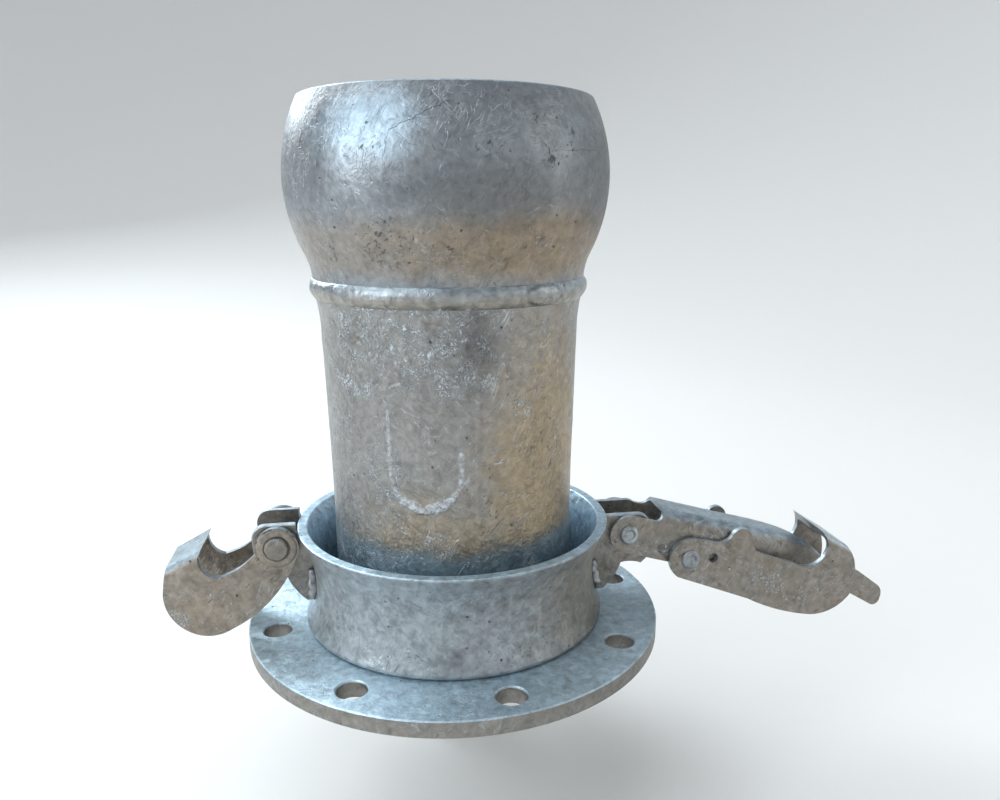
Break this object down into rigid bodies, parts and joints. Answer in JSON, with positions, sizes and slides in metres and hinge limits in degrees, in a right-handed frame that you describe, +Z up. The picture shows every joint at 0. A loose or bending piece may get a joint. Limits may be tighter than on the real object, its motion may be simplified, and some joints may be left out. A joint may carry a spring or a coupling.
{
  "type": "lever-lock ball coupling half with flange",
  "caption": "Flanged pipe stub ending in a hollow ball, with a sliding, turning closing ring that carries a plain hook and a lever with its own hook.",
  "frame": {"origin": "centre of the flange's underside, on the pipe axis", "axes": "+Z up the pipe towards the ball's mouth, +X from the pipe axis to the lever's pin, latch pins parallel to Y"},
  "size_m": [0.6287, 0.34, 0.4387],
  "materials": {
    "flange_zinc": "hot-dip galvanised, satin with spangle",
    "weld_zinc": "hot-dip galvanised, satin with spangle",
    "pipe_zinc": "hot-dip galvanised, satin with spangle",
    "ball_zinc": "hot-dip galvanised, satin with spangle",
    "ring_zinc": "hot-dip galvanised, satin with spangle",
    "ear_zinc": "hot-dip galvanised, satin with spangle",
    "hook_zinc": "hot-dip galvanised, satin with spangle",
    "lever_zinc": "hot-dip galvanised, satin with spangle",
    "rivet_zinc": "hot-dip galvanised, satin with spangle"
  },
  "bodies": {
    "base": {"flange_plate": "flange_zinc", "flange_top_weld": "weld_zinc", "flange_bore_weld": "weld_zinc", "pipe_stub": "pipe_zinc", "pipe_seam_weld": "pipe_zinc", "ball_head": "ball_zinc", "neck_weld": "weld_zinc"},
    "closing_ring": {"collar_band": "ring_zinc"},
    "latch_carrier": {"left_ear_front": "ear_zinc", "left_ear_rear": "ear_zinc", "left_ear_front_weld": "weld_zinc", "left_ear_rear_weld": "weld_zinc", "right_ear_front": "ear_zinc", "right_ear_rear": "ear_zinc", "right_ear_front_weld": "weld_zinc", "right_ear_rear_weld": "weld_zinc", "left_hook_rivet": "rivet_zinc", "lever_rivet": "rivet_zinc"},
    "plain_hook": {"left_hook": "hook_zinc"},
    "lever": {"lever_handle": "lever_zinc", "lever_hook_rivet": "rivet_zinc"},
    "pull_hook": {"lever_hook": "hook_zinc"}
  },
  "joints": [
    {"name": "ring_slide", "type": "slide", "parent": "base", "child": "closing_ring", "axis": [0, 0, 1], "range_m": [0, 0.237]},
    {"name": "ring_turn", "type": "hinge", "parent": "closing_ring", "child": "latch_carrier", "pos_m": [0, 0, 0], "axis": [0, 0, 1], "continuous": true},
    {"name": "left_hook_swing", "type": "hinge", "parent": "latch_carrier", "child": "plain_hook", "pos_m": [-0.1416, 0, 0.0841], "axis": [0, 1, 0], "range_deg": [-8, 100]},
    {"name": "lever_swing", "type": "hinge", "parent": "latch_carrier", "child": "lever", "pos_m": [0.1454, 0, 0.0754], "axis": [0, -1, 0], "range_deg": [-28, 75]},
    {"name": "lever_hook_swing", "type": "hinge", "parent": "lever", "child": "pull_hook", "pos_m": [0.19861, 0, 0.05161], "axis": [0, -1, 0], "range_deg": [-6, 45]}
  ]
}
